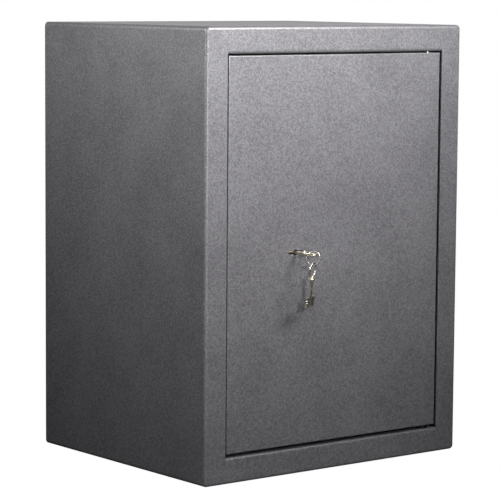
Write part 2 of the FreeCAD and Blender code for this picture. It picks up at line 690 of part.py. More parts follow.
def make_guides():
    """Two shouldered posts on the door that the bar slides on, and their nuts."""
    post_x = "bar_x - throw / 2"
    posts = []
    nuts = []
    for i, level in enumerate(GUIDE_LEVELS):
        foot = rod(f"GuideFoot{i}", "y", "guide_radius * 2",
                   f"{BOLT_FRONT} - bar_thick - 0.3 - {PLATE_BACK}", post_x, PLATE_BACK, level)
        neck = rod(f"GuideNeck{i}", "y", "guide_radius", f"{BOLT_FRONT} + 4 - {PLATE_BACK}", post_x,
                   PLATE_BACK, level)
        posts.append(fuse(f"GuidePost{i}", foot, neck))
        washer = rod(f"GuideNutDisc{i}", "y", "7", "3", post_x, f"{BOLT_FRONT} + 0.3", level)
        hole = rod(f"GuideNutHole{i}", "y", "guide_radius", "6", post_x, f"{BOLT_FRONT} - 1", level)
        nuts.append(cut(f"GuideNut{i}", washer, hole))
    keep(group("GuidePosts", posts), "guide_posts")
    keep(group("GuideNuts", nuts), "guide_nuts")


# ---------------------------------------------------------------------------------------------
# Inner cover of the door
# ---------------------------------------------------------------------------------------------

def make_inner_cover():
    """Cover over the boltwork, the six posts that it is screwed to, and their screws."""
    left, right = "( door_left + door_edge + 1 )", "( pivot_x - cover_set - 4 )"
    low, high = "( door_low + door_edge + 1 )", "( door_high - door_edge - 1 )"
    cover_front = f"( {DOOR_BACK} + cover_play )"
    plate = block("CoverPlate", left, right, cover_front, f"{cover_front} + cover_thick", low, high)
    spots = [(x, f"{cover_front} + cover_thick", z)
             for x in ("bar_x + cover_aside", f"{right} - cover_set")
             for z in (f"{low} + cover_set", "lock_z + cover_middle", f"{high} - cover_set")]
    drills = [rod(f"CoverDrill{i}", "y", "screw_radius", "4", x, f"{cover_front} - 1", z)
              for i, (x, y, z) in enumerate(spots)]
    keep(cut("InnerCover", plate, *drills), "inner_cover")
    posts = []
    for i, (x, y, z) in enumerate(spots):
        stem = rod(f"CoverPost{i}Stem", "y", "post_thick", f"{cover_front} - {PLATE_BACK}", x, PLATE_BACK, z)
        tap = rod(f"CoverPost{i}Tap", "y", "screw_radius", "11", x, f"{cover_front} - 10", z)
        posts.append(cut(f"CoverPost{i}", stem, tap))
    keep(group("CoverPosts", posts), "cover_posts")
    keep(group("CoverScrews", [screw(f"CoverScrew{i}", "y", spot, "cover_thick + 8")
                               for i, spot in enumerate(spots)]), "cover_screws")


# ---------------------------------------------------------------------------------------------
# Keys and ring
# ---------------------------------------------------------------------------------------------

def ellipse_prism(name, half_x, half_y, thick, middle_y):
    """An oval plate in the XY plane, centred on the key's axis."""
    ellipse = doc.addObject("Part::Ellipse", name + "Outline")
    ellipse.setExpression("MajorRadius", bound(half_y))
    ellipse.setExpression("MinorRadius", bound(half_x))
    ellipse.Placement = Placement(Vector(), Rotation(Vector(0, 0, 1), 90))
    ellipse.setExpression("Placement.Base.y", bound(middle_y))
    ellipse.setExpression("Placement.Base.z", bound(f"- ( {thick} ) / 2"))
    prism = doc.addObject("Part::Extrusion", name)
    prism.Base = ellipse
    prism.Dir = Vector(0, 0, 1)
    prism.DirMode = "Custom"
    prism.Solid = True
    prism.setExpression("LengthFwd", bound(thick))
    return prism


# Steps of each bit: where one starts and ends, as shares of its length, and how deep it is.
BIT_STEPS = ((0.18, 0.30, 2.2), (0.44, 0.56, 3.4), (0.70, 0.84, 1.4))


def make_key(name):
    """A double-bit key along Y: its tip at +Y, its bow at -Y, and y = 0 at the door's outer face."""
    stem_front = "( - bow_middle + bow_long / 2 - bow_rim - 1 )"
    shank = rod(name + "Shank", "y", "shank_radius", f"key_inside - {stem_front}", "0", stem_front, "0")
    collar = rod(name + "Collar", "y", "collar_radius", "collar_long", "0", "- collar_out - collar_long", "0")
    bow = ellipse_prism(name + "Bow", "bow_wide / 2", "bow_long / 2", "bow_thick", "- bow_middle")
    eye = ellipse_prism(name + "Eye", "bow_wide / 2 - bow_rim", "bow_long / 2 - bow_rim", "bow_thick + 4",
                        "- bow_middle")
    stem = cut(name + "Stem", fuse(name + "Frame", bow, shank, collar), eye)
    bit_end = "( key_inside - tip_long )"
    bits = block(name + "Bits", "- bit_radius", "bit_radius", f"{bit_end} - bit_long", bit_end,
                 "- bit_thick / 2", "bit_thick / 2")
    notches = []
    for i, (start, end, deep) in enumerate(BIT_STEPS):
        for side in (-1, 1):
            edges = (f"bit_radius - {deep}", "bit_radius + 1")
            low, high = edges if side > 0 else (f"- ( {edges[1]} )", f"- ( {edges[0]} )")
            notches.append(block(f"{name}Notch{i}{'a' if side > 0 else 'b'}", low, high,
                                 f"{bit_end} - bit_long * {1 - start}", f"{bit_end} - bit_long * {1 - end}",
                                 "- bit_thick", "bit_thick"))
    return fuse(name, stem, cut(name + "CutBits", bits, *notches))


def make_keys():
    """The key in the lock, the ring through its bow, and the spare key that hangs from the ring."""
    key = make_key("Key")
    key.setExpression("Placement.Base.x", bound("lock_x"))
    key.setExpression("Placement.Base.y", bound(FRONT))
    key.setExpression("Placement.Base.z", bound("lock_z"))
    keep(key, "key")
    ring_z = "( lock_z + ring_above - ring_radius )"
    ring = doc.addObject("Part::Torus", "KeyRing")
    ring.setExpression("Radius1", bound("ring_radius"))
    ring.setExpression("Radius2", bound("wire_radius"))
    ring.Placement = Placement(Vector(), Rotation(Vector(-1, 1, 0), 90))
    ring.setExpression("Placement.Base.x", bound("lock_x"))
    ring.setExpression("Placement.Base.y", bound(FRONT + " - ring_out"))
    ring.setExpression("Placement.Base.z", bound(ring_z))
    keep(ring, "key_ring")
    spare = make_key("Spare")
    lean = Rotation(Vector(1, 0, 0), value("spare_lean"))
    down = Rotation(Vector(1, 0, 0), -90)
    turn = Rotation(Vector(0, 0, 1), value("spare_turn"))
    turned = lean.multiply(turn).multiply(down)
    hook = Vector(value("lock_x"), value(FRONT + " - ring_out"), value(f"{ring_z} - ring_radius"))
    grip = Vector(0, value("- bow_middle - bow_long / 2 + bow_rim + wire_radius + 0.9"), 0)
    spare.Placement = Placement(hook - turned.multVec(grip), turned)
    keep(spare, "spare_key")


# ---------------------------------------------------------------------------------------------
# The whole safe
# ---------------------------------------------------------------------------------------------

body_wrap = make_body_wrap()
drill_lips(body_wrap)
make_back_panel()
make_strike_bar()
make_pivots()
make_shelf()
make_door_panel()
make_door_pivots()
make_anti_pry_rail()
make_lock()
make_curtain()
make_boltwork()
make_guides()
make_inner_cover()
make_keys()
doc.recompute()

for feature in doc.Objects:
    if any(word in feature.State for word in ("Invalid", "Error")):
        raise RuntimeError(f"{feature.Name} failed: {feature.State}")
for node in nodes:
    if node.Shape.isNull() or not node.Shape.isValid() or not node.Shape.Solids:
        raise RuntimeError(f"{node.Label} has no valid solid")

os.makedirs("parts", exist_ok=True)
for node in nodes:
    node.Shape.exportStep(f"parts/{node.Label}.step")
    print(f"{node.Label}: {len(node.Shape.Solids)} solid, {node.Shape.Volume:.0f} mm3")
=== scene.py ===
"""Looks of an upright sheet-steel safe with a key lock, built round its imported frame.

The cabinet and the door wear a graphite powder coat. A nickelled key stands in the lock, with a spare
key on a split ring. Lengths are metres; X is to the right, Y to the back and Z up.
"""

import json
import logging
import math
from dataclasses import dataclass, field
from enum import Enum

import bpy
import numpy as np
from mathutils import Matrix, Vector


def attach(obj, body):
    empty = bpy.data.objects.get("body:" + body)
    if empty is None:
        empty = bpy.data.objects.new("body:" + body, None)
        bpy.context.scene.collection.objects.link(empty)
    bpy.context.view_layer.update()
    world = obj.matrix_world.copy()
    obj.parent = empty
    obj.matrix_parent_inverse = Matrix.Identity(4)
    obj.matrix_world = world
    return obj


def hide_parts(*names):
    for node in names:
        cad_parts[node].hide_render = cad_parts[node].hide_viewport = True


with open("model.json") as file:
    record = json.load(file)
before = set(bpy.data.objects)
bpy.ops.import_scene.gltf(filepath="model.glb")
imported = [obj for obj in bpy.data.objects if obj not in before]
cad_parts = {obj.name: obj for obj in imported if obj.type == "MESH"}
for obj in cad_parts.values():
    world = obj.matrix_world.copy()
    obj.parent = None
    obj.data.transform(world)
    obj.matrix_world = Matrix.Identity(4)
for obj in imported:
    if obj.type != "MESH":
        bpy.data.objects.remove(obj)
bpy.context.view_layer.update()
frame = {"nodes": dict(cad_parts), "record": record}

MM = 0.001
CREASE = 35.0
ROUND = 48
FRONT = -187.5
LOCK = (-71.5, 300.0)
WHITE = (1.0, 1.0, 1.0, 1.0)
logging.basicConfig(level=logging.INFO, format="%(message)s")
log = logging.getLogger("safe")


# ---------------------------------------------------------------------------------------------
# Node helpers
# ---------------------------------------------------------------------------------------------

class Wiring:
    """A node tree with short calls for the nodes that this scene uses."""

    def __init__(self, tree: bpy.types.NodeTree) -> None:
        """Takes the tree that nodes are added to."""
        self.tree = tree

    def add(self, kind: str, **values: object) -> bpy.types.Node:
        """Adds a node.

        Args:
            kind: the node's type without its ShaderNode prefix.
            values: attributes of the node, or with a leading underscore, defaults of its inputs.

        Returns:
            The new node.
        """
        node = self.tree.nodes.new(kind if kind.startswith("NodeGroup") else "ShaderNode" + kind)
        for name, value in values.items():
            if name.startswith("_"):
                node.inputs[name[1:].replace("_", " ")].default_value = value
            else:
                setattr(node, name, value)
        return node

    def join(self, source: bpy.types.NodeSocket, target: bpy.types.NodeSocket) -> None:
        """Links an output to an input."""
        self.tree.links.new(source, target)

    def math(self, operation: str, first: object, second: object = 0.0,
             clamp: bool = False) -> bpy.types.NodeSocket:
        """Adds a Math node on two numbers or sockets and returns its output."""
        node = self.add("Math", operation=operation, use_clamp=clamp)
        for socket, value in zip(node.inputs, (first, second)):
            if isinstance(value, bpy.types.NodeSocket):
                self.join(value, socket)
            else:
                socket.default_value = value
        return node.outputs[0]

    def noise(self, vector: bpy.types.NodeSocket, scale: float, detail: float = 3.0,
              roughness: float = 0.5) -> bpy.types.NodeSocket:
        """Adds a Noise Texture on a vector and returns its value."""
        node = self.add("TexNoise", _Scale=scale, _Detail=detail, _Roughness=roughness)
        self.join(vector, node.inputs["Vector"])
        return node.outputs["Fac"]

    def ramp(self, value: bpy.types.NodeSocket, low: float, high: float,
             to_low: float = 0.0, to_high: float = 1.0) -> bpy.types.NodeSocket:
        """Adds a clamped Map Range from low..high to to_low..to_high and returns its result."""
        node = self.add("MapRange", clamp=True)
        self.join(value, node.inputs["Value"])
        for name, number in (("From Min", low), ("From Max", high), ("To Min", to_low), ("To Max", to_high)):
            node.inputs[name].default_value = number
        return node.outputs["Result"]

    def blend(self, share: bpy.types.NodeSocket, first: object, second: object) -> bpy.types.NodeSocket:
        """Adds a colour Mix of two colours or sockets by a share and returns its colour."""
        node = self.add("Mix", data_type="RGBA")
        self.join(share, node.inputs[0])
        for socket, value in zip((node.inputs[6], node.inputs[7]), (first, second)):
            if isinstance(value, bpy.types.NodeSocket):
                self.join(value, socket)
            else:
                socket.default_value = value
        return node.outputs[2]

    def by_ray(self, felt: bpy.types.NodeSocket, seen: bpy.types.NodeSocket) -> bpy.types.NodeSocket:
        """Mixes two shaders: the camera gets the one that is seen, all other rays the one that is felt."""
        mixed = self.add("MixShader")
        self.join(self.add("LightPath").outputs["Is Camera Ray"], mixed.inputs[0])
        self.join(felt, mixed.inputs[1])
        self.join(seen, mixed.inputs[2])
        return mixed.outputs[0]


def new_group(name: str, numbers: dict[str, float], outputs: dict[str, str]) -> tuple[
        bpy.types.NodeTree, Wiring, bpy.types.Node, bpy.types.Node]:
    """Starts a shader node group.

    Args:
        name: the group's name.
        numbers: its number inputs with their defaults.
        outputs: its outputs with their socket types.

    Returns:
        The group, its wiring, its input node and its output node.
    """
    tree = bpy.data.node_groups.new(name, "ShaderNodeTree")
    tree.interface.new_socket("Vector", in_out="INPUT", socket_type="NodeSocketVector")
    for word, number in numbers.items():
        socket = tree.interface.new_socket(word, in_out="INPUT", socket_type="NodeSocketFloat")
        socket.default_value = number
    for word, kind in outputs.items():
        tree.interface.new_socket(word, in_out="OUTPUT", socket_type=kind)
    wiring = Wiring(tree)
    return tree, wiring, wiring.add("NodeGroupInput"), wiring.add("NodeGroupOutput")


def coat_grain_group() -> bpy.types.NodeTree:
    """Texture of a powder coat.

    Height is a fine pebble noise plus a finer one. Fleck is bright where a third noise peaks, as on
    metal flake. Cloud is a slow mottling.
    """
    floats = {"Height": "NodeSocketFloat", "Fleck": "NodeSocketFloat", "Cloud": "NodeSocketFloat"}
    tree, wires, start, end = new_group("coat_grain", {"Grain": 900.0}, floats)
    layers = []
    for factor, share in ((1.0, 0.65), (2.3, 0.35)):
        node = wires.add("TexNoise", _Detail=2.0)
        wires.join(start.outputs["Vector"], node.inputs["Vector"])
        wires.join(wires.math("MULTIPLY", start.outputs["Grain"], factor), node.inputs["Scale"])
        layers.append(wires.math("MULTIPLY", node.outputs["Fac"], share))
    wires.join(wires.math("ADD", *layers), end.inputs["Height"])
    fleck = wires.noise(start.outputs["Vector"], scale=520.0, detail=2.0, roughness=0.6)
    wires.join(wires.ramp(fleck, 0.36, 0.66), end.inputs["Fleck"])
    wires.join(wires.noise(start.outputs["Vector"], scale=14.0, detail=4.0), end.inputs["Cloud"])
    return tree


def turned_metal_group() -> bpy.types.NodeTree:
    """Marks on bare metal.

    Streak is a noise drawn out along one axis, as from brushing. Stain is a slow cloud.
    """
    floats = {"Streak": "NodeSocketFloat", "Stain": "NodeSocketFloat"}
    tree, wires, start, end = new_group("turned_metal", {"Grain": 400.0}, floats)
    stretch = wires.add("Mapping")
    stretch.inputs["Scale"].default_value = (1.0, 1.0, 0.06)
    wires.join(start.outputs["Vector"], stretch.inputs["Vector"])
    node = wires.add("TexNoise", _Detail=3.0)
    wires.join(stretch.outputs["Vector"], node.inputs["Vector"])
    wires.join(start.outputs["Grain"], node.inputs["Scale"])
    wires.join(node.outputs["Fac"], end.inputs["Streak"])
    wires.join(wires.noise(start.outputs["Vector"], scale=60.0, detail=4.0), end.inputs["Stain"])
    return tree


# ---------------------------------------------------------------------------------------------
# Finishes
# ---------------------------------------------------------------------------------------------

@dataclass(frozen=True)
class PowderCoat:
    """Graphite powder coat with a fine pebble texture and a little metal flake."""

    name: str
    dark: tuple[float, float, float] = (0.058, 0.056, 0.061)
    light: tuple[float, float, float] = (0.124, 0.121, 0.129)
    roughness: float = 0.46
    metallic: float = 0.25
    bump: float = 0.42
    grain: float = 430.0
    film: float = 0.25
    film_roughness: float = 0.26

    def build(self, groups: dict[str, bpy.types.NodeTree]) -> bpy.types.Material:
        """Makes the material from the shared node groups."""
        material, wires, shader, place = start_material(self.name)
        grain = wires.add("Group", node_tree=groups["coat_grain"])
        wires.join(place, grain.inputs["Vector"])
        grain.inputs["Grain"].default_value = self.grain
        cloud = wires.ramp(grain.outputs["Cloud"], 0.3, 0.7, -0.10, 0.10)
        share = wires.math("ADD", grain.outputs["Fleck"], cloud, clamp=True)
        wires.join(wires.blend(share, (*self.dark, 1.0), (*self.light, 1.0)), shader.inputs["Base Color"])
        rough = wires.ramp(grain.outputs["Cloud"], 0.25, 0.75, self.roughness - 0.03, self.roughness + 0.03)
        wires.join(rough, shader.inputs["Roughness"])
        shader.inputs["Metallic"].default_value = self.metallic
        shader.inputs["Coat Weight"].default_value = self.film
        shader.inputs["Coat Roughness"].default_value = self.film_roughness
        add_bump(wires, shader, grain.outputs["Height"], self.bump, 0.0006)
        return material


@dataclass(frozen=True)
class BareMetal:
    """Plated, turned or milled metal with brushing and faint stains."""

    name: str
    colour: tuple[float, float, float]
    stained: tuple[float, float, float]
    roughness: float = 0.3
    grain: float = 400.0
    bump: float = 0.05

    def build(self, groups: dict[str, bpy.types.NodeTree]) -> bpy.types.Material:
        """Makes the material from the shared node groups."""
        material, wires, shader, place = start_material(self.name)
        marks = wires.add("Group", node_tree=groups["turned_metal"])
        wires.join(place, marks.inputs["Vector"])
        marks.inputs["Grain"].default_value = self.grain
        share = wires.ramp(marks.outputs["Stain"], 0.42, 0.68)
        wires.join(wires.blend(share, (*self.colour, 1.0), (*self.stained, 1.0)),
                   shader.inputs["Base Color"])
        rough = wires.ramp(marks.outputs["Streak"], 0.3, 0.7, self.roughness - 0.07, self.roughness + 0.10)
        wires.join(rough, shader.inputs["Roughness"])
        shader.inputs["Metallic"].default_value = 1.0
        add_bump(wires, shader, marks.outputs["Streak"], self.bump, 0.0003)
        return material


def start_material(name: str) -> tuple[bpy.types.Material, Wiring, bpy.types.Node, bpy.types.NodeSocket]:
    """Starts a node material.

    Args:
        name: the material's name.

    Returns:
        The material, its wiring, its Principled BSDF and the Object coordinates.
    """
    material = bpy.data.materials.new(name)
    material.use_nodes = True
    wires = Wiring(material.node_tree)
    shader = material.node_tree.nodes["Principled BSDF"]
    return material, wires, shader, wires.add("TexCoord").outputs["Object"]


def add_bump(wires: Wiring, shader: bpy.types.Node, height: bpy.types.NodeSocket, strength: float,
             distance: float) -> None:
    """Feeds a height through a Bump node into the shader's normal."""
    bump = wires.add("Bump", _Strength=strength, _Distance=distance)
    wires.join(height, bump.inputs["Height"])
    wires.join(bump.outputs["Normal"], shader.inputs["Normal"])


FINISHES = (
    PowderCoat("powder_coat"),
    PowderCoat("inner_coat", dark=(0.085, 0.086, 0.09), light=(0.13, 0.13, 0.135), roughness=0.55),
    BareMetal("zinc_steel", (0.60, 0.61, 0.62), (0.46, 0.47, 0.49), roughness=0.34),
    BareMetal("bright_steel", (0.64, 0.63, 0.61), (0.50, 0.49, 0.47), roughness=0.22),
    BareMetal("hardened_steel", (0.020, 0.020, 0.022), (0.012, 0.012, 0.012), roughness=0.5),
    BareMetal("spring_steel", (0.33, 0.35, 0.41), (0.24, 0.24, 0.28), roughness=0.28),
    BareMetal("screw_steel", (0.52, 0.53, 0.54), (0.42, 0.42, 0.40), roughness=0.30, grain=900.0),
    BareMetal("brass", (0.74, 0.55, 0.25), (0.58, 0.41, 0.18), roughness=0.30),
    BareMetal("bronze", (0.58, 0.39, 0.20), (0.42, 0.27, 0.14), roughness=0.38),
    BareMetal("nickel", (0.86, 0.81, 0.70), (0.62, 0.54, 0.42), roughness=0.24, grain=900.0),
)


class Finishes:
    """All materials of the safe, one per slot of the record."""

    def __init__(self) -> None:
        """Builds the node groups once and then each finish."""
        groups = {"coat_grain": coat_grain_group(), "turned_metal": turned_metal_group()}
        self.materials = {finish.name: finish.build(groups) for finish in FINISHES}

    def dress(self, thing: bpy.types.Object, slot: str, body: str, node: str) -> None:
        """Gives a new piece its finish and registers it on a body, in place of a CAD node."""
        thing.data.materials.clear()
        thing.data.materials.append(self.materials[slot])
        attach(thing, body)
        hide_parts(node)
        log.info("%s: %d faces", thing.name, len(thing.data.polygons))

    def dress_frame(self) -> None:
        """Gives every CAD node the material of its slot."""
        for part in frame["record"]["subparts"]:
            thing = frame["nodes"][part["node"]]
            material = self.materials[part["material_slot"]]
            if not thing.material_slots:
                thing.data.materials.append(material)
            for held in thing.material_slots:
                held.material = material


# ---------------------------------------------------------------------------------------------
# Surfaces
# ---------------------------------------------------------------------------------------------

def ring_faces(rows: int, columns: int, close_rows: bool, close_columns: bool) -> np.ndarray:
    """Quads of a grid whose points are numbered row by row.

    Args:
        rows: number of rows.
        columns: points in a row.
        close_rows: whether the last row joins the first.
        close_columns: whether the last point of a row joins its first.

    Returns:
        An array of four point numbers per quad: (r, c), (r, c+1), (r+1, c+1), (r+1, c).
    """
    row = np.arange(rows if close_rows else rows - 1)[:, None]
    column = np.arange(columns if close_columns else columns - 1)[None, :]
    below, beside = (row + 1) % rows, (column + 1) % columns
    corners = (row * columns + column, row * columns + beside, below * columns + beside,
               below * columns + column)
    return np.stack(np.broadcast_arrays(*corners), axis=-1).reshape(-1, 4)


def shade(mesh: bpy.types.Mesh) -> None:
    """Shades a mesh smooth except across edges sharper than CREASE degrees."""
    mesh.polygons.foreach_set("use_smooth", np.ones(len(mesh.polygons), dtype=bool))
    mesh.set_sharp_from_angle(angle=math.radians(CREASE))


@dataclass
class Surface:
    """Points and faces of one mesh, in millimetres until it becomes an object."""

    points: np.ndarray
    faces: list

    @classmethod
    def from_grid(cls, grid: np.ndarray, close_rows: bool = False, close_columns: bool = True,
                  caps: bool = False) -> "Surface":
        """Makes a surface from a grid of points.

        Args:
            grid: an array of rows, columns and 3 coordinates.
            close_rows: whether the last row joins the first.
            close_columns: whether each row is a closed loop.
            caps: whether the first and last loops are filled.

        Returns:
            The surface.
        """
        rows, columns = grid.shape[:2]
        faces = ring_faces(rows, columns, close_rows, close_columns).tolist()
        if caps:
            faces.append(list(range(columns))[::-1])
            faces.append(list(range((rows - 1) * columns, rows * columns)))
        return cls(grid.reshape(-1, 3), faces)

    def joined(self, *others: "Surface") -> "Surface":
        """This surface with others added as separate shells."""
        points, faces = [self.points], list(self.faces)
        count = len(self.points)
        for other in others:
            faces += [[index + count for index in face] for face in other.faces]
            points.append(other.points)
            count += len(other.points)
        return Surface(np.concatenate(points), faces)

    def flipped(self) -> "Surface":
        """The same surface with its faces turned over."""
        return Surface(self.points, [face[::-1] for face in self.faces])

    def moved(self, turn: np.ndarray, shift: np.ndarray) -> "Surface":
        """The surface turned by a 3 x 3 matrix and then shifted."""
        return Surface(self.points @ turn.T + shift, self.faces)

    def to_object(self, name: str) -> bpy.types.Object:
        """Makes the shaded Blender object."""
        mesh = bpy.data.meshes.new(name)
        mesh.from_pydata((self.points * MM).tolist(), [], self.faces)
        shade(mesh)
        mesh.validate()
        thing = bpy.data.objects.new(name, mesh)
        bpy.context.scene.collection.objects.link(thing)
        return thing


def turn_about(axis: str, degrees: float) -> np.ndarray:
    """Rotation matrix about X, Y or Z."""
    return np.array(Matrix.Rotation(math.radians(degrees), 3, axis))


def full_turn(count: int) -> np.ndarray:
    """Angles of a whole turn in count equal steps, from 0 up to the last before 360 degrees."""
    return np.linspace(0.0, 2.0 * math.pi, count, endpoint=False)


def soft_section(about: np.ndarray, half_wide: float, half_thick: float,
                 power: float) -> tuple[np.ndarray, np.ndarray]:
    """A wire's soft-cornered section as a superellipse.

    Args:
        about: angles round the section.
        half_wide, half_thick: its half sizes.
        power: p in |u / half_wide|^p + |v / half_thick|^p = 1, where 2 is an ellipse.

    Returns:
        u and v at each angle: half size * sign(cos a) * |cos a|^(2/p), and the same with the sine.
    """
    cosine, sine, root = np.cos(about), np.sin(about), 2.0 / power
    return (np.sign(cosine) * np.abs(cosine) ** root * half_wide,
            np.sign(sine) * np.abs(sine) ** root * half_thick)


def with_support(stations: list[tuple[float, float]], close: float = 0.4,
                 long: float = 2.5) -> list[tuple[float, float]]:
    """Adds a station close to both ends of every long step, so that flats stay flat when smoothed.

    Args:
        stations: the profile's points.
        close: how far from an end the added point lies.
        long: the length over which a step counts as long.

    Returns:
        The points with the added ones between them.
    """
    out = []
    for first, second in zip(stations, stations[1:]):
        out.append(first)
        span = math.hypot(second[0] - first[0], second[1] - first[1])
        if span > long:
            for share in (close / span, 1.0 - close / span):
                out.append((first[0] + (second[0] - first[0]) * share,
                            first[1] + (second[1] - first[1]) * share))
    out.append(stations[-1])
    return out


def arc(middle: tuple[float, float], radius: float, start: float, end: float,
        steps: int = 8) -> list[tuple[float, float]]:
    """Points of an arc: middle + radius * (cos a, sin a), with a from start to end degrees."""
    turns = np.radians(np.linspace(start, end, steps + 1))
    return [(middle[0] + radius * math.cos(turn), middle[1] + radius * math.sin(turn)) for turn in turns]


def rounded_loop(low_x: float, high_x: float, low_z: float, high_z: float, radius: float,
                 steps: int = 8) -> np.ndarray:
    """A rectangle with rounded corners in X and Z, with the same number of points whatever its size.

    Args:
        low_x, high_x, low_z, high_z: the sides.
        radius: the corners' radius.
        steps: segments in each corner.

    Returns:
        An array of points and 2 coordinates, clockwise seen from the front (from -Y).
    """
    left, right, bottom, top = low_x + radius, high_x - radius, low_z + radius, high_z - radius
    corners = ((right, top, 90.0, 0.0), (right, bottom, 0.0, -90.0), (left, bottom, -90.0, -180.0),
               (left, top, 180.0, 90.0))
    points = []
    for x, z, start, end in corners:
        points += arc((x, z), radius, start, end, steps)
    return np.array(points)


def along_x(outline: list[tuple[float, float]], low_x: float, high_x: float) -> Surface:
    """A closed outline in Y and Z carried along X between two sides, with both ends filled."""
    line = np.array(outline)
    loops = [np.insert(line, 0, x, axis=1) for x in (low_x, high_x)]
    return Surface.from_grid(np.stack(loops), caps=True)


# ---------------------------------------------------------------------------------------------
# Cabinet skin
# ---------------------------------------------------------------------------------------------

class Rim(Enum):
    """The folded edges of the opening."""

    TOP = 1
    BOTTOM = -1


@dataclass(frozen=True)
class Drilling:
    """A round hole along an axis, as the cylinder that is taken away."""

    axis: str
    middle: tuple[float, float, float]
    radius: float
    length: float

    def cutter(self) -> Surface:
        """The cylinder: two loops of ROUND points and two caps."""
        turns = full_turn(ROUND)
        loop = np.stack([np.cos(turns) * self.radius, np.sin(turns) * self.radius, np.zeros(ROUND)], axis=-1)
        ends = np.array([0.0, 0.0, self.length / 2.0])
        cylinder = Surface.from_grid(np.stack([loop - ends, loop + ends]), caps=True)
        turn = {"x": turn_about("Y", 90.0), "y": turn_about("X", -90.0), "z": np.eye(3)}[self.axis]
        return cylinder.moved(turn, np.array(self.middle))


def drill(thing: bpy.types.Object, holes: list[Drilling]) -> None:
    """Takes round holes out of a mesh with an exact difference.

    Args:
        thing: the object whose mesh is drilled in place.
        holes: the cylinders that are taken away together.
    """
    first, *others = [hole.cutter() for hole in holes]
    tool = first.joined(*others).to_object(thing.name + "_holes")
    step = thing.modifiers.new("holes", "BOOLEAN")
    step.operation = "DIFFERENCE"
    step.solver = "EXACT"
    step.object = tool
    graph = bpy.context.evaluated_depsgraph_get()
    mesh = bpy.data.meshes.new_from_object(thing.evaluated_get(graph))
    thing.modifiers.clear()
    thing.data = mesh
    shade(mesh)
    bpy.data.objects.remove(tool)


@dataclass
class CabinetSkin:
    """The wrapped sheet of the cabinet, with its bends rolled round instead of filleted."""

    half_wide: float = 222.5
    front: float = FRONT
    back: float = 187.5
    tall: float = 600.0
    wall: float = 3.0
    corner: float = 6.0
    bend: float = 4.5
    opening: tuple[float, float, float, float] = (-188.0, 187.5, 35.0, 564.0)
    lip_bend: float = 3.5
    lip_deep: float = 22.0
    edge: float = 0.3
    corner_least: float = 0.8
    mouth_corner: float = 0.25
    shoulder: float = 0.4
    anchor_x: float = 130.0
    anchor_y: float = 100.0
    anchor_radius: float = 6.0

    def station(self, inset: float, y: float) -> np.ndarray:
        """The loop of the wrap at an inset from its outer face: the corner radius shrinks with it."""
        radius = max(self.corner - inset, self.corner_least)
        flat = rounded_loop(-self.half_wide + inset, self.half_wide - inset, inset, self.tall - inset, radius)
        return np.insert(flat, 1, y, axis=1)

    def mouth(self, grow: float, y: float) -> np.ndarray:
        """The loop of the opening, grown outwards; the lips take over above and below it."""
        low_x, high_x, low_z, high_z = self.opening
        flat = rounded_loop(low_x - grow, high_x + grow, low_z - self.lip_bend - grow,
                            high_z + self.lip_bend + grow, self.mouth_corner)
        return np.insert(flat, 1, y, axis=1)

    def wrap(self) -> Surface:
        """The closed sheet, loop by loop: outer face, front bend, flange, opening and inner face."""
        middle = (self.bend, self.front + self.bend)
        outer = [(self.edge, self.back), (0.0, self.back - self.edge)]
        outer += arc(middle, self.bend, 180.0, 270.0)
        inner_bend = self.bend - self.wall
        inner = arc(middle, inner_bend, 270.0, 180.0, 5)
        inner += [(self.wall, self.back - self.edge), (self.wall - self.edge, self.back)]
        loops = [self.station(inset, y) for inset, y in with_support(outer)]
        inner_face, flat = self.front + self.wall, self.edge + self.shoulder
        loops += [self.station(self.bend + self.shoulder, self.front)]
        loops += [self.mouth(grow, y) for grow, y in
                  ((flat, self.front), (self.edge, self.front), (0.0, self.front + self.edge),
                   (0.0, inner_face - self.edge), (self.edge, inner_face), (flat, inner_face))]
        loops += [self.station(self.bend + self.shoulder, inner_face)]
        loops += [self.station(inset, y) for inset, y in with_support(inner)]
        return Surface.from_grid(np.stack(loops), close_rows=True).flipped()

    def lip(self, rim: Rim) -> Surface:
        """One folded lip: its rolled profile in Y and Z carried along X between the opening's sides."""
        low_x, high_x, low_z, high_z = self.opening
        end = self.front + self.lip_deep
        bend, wall, edge = self.lip_bend, self.wall, self.edge
        profile = arc((self.front + bend, bend), bend, 180.0, 270.0, 10)
        profile += [(end - edge, 0.0), (end, edge), (end, wall - edge), (end - edge, wall)]
        profile += arc((self.front + bend, bend), bend - wall, 270.0, 180.0, 4)
        level = high_z if rim is Rim.TOP else low_z
        outline = [(y, level + rim.value * height) for y, height in with_support(profile)]
        surface = along_x(outline, low_x, high_x)
        return surface if rim is Rim.TOP else surface.flipped()

    def build(self, finishes: Finishes) -> bpy.types.Object:
        """Builds, drills, dresses and registers the skin in place of the CAD sheet."""
        surface = self.wrap().joined(self.lip(Rim.TOP), self.lip(Rim.BOTTOM))
        thing = surface.to_object("cabinet_skin")
        drill(thing, [Drilling("z", (x, y, self.wall / 2.0), self.anchor_radius, 3.0 * self.wall)
                      for x in (-self.anchor_x, self.anchor_x) for y in (-self.anchor_y, self.anchor_y)])
        finishes.dress(thing, "powder_coat", "cabinet", "body_wrap")
        return thing


# ---------------------------------------------------------------------------------------------
# Door skin
# ---------------------------------------------------------------------------------------------

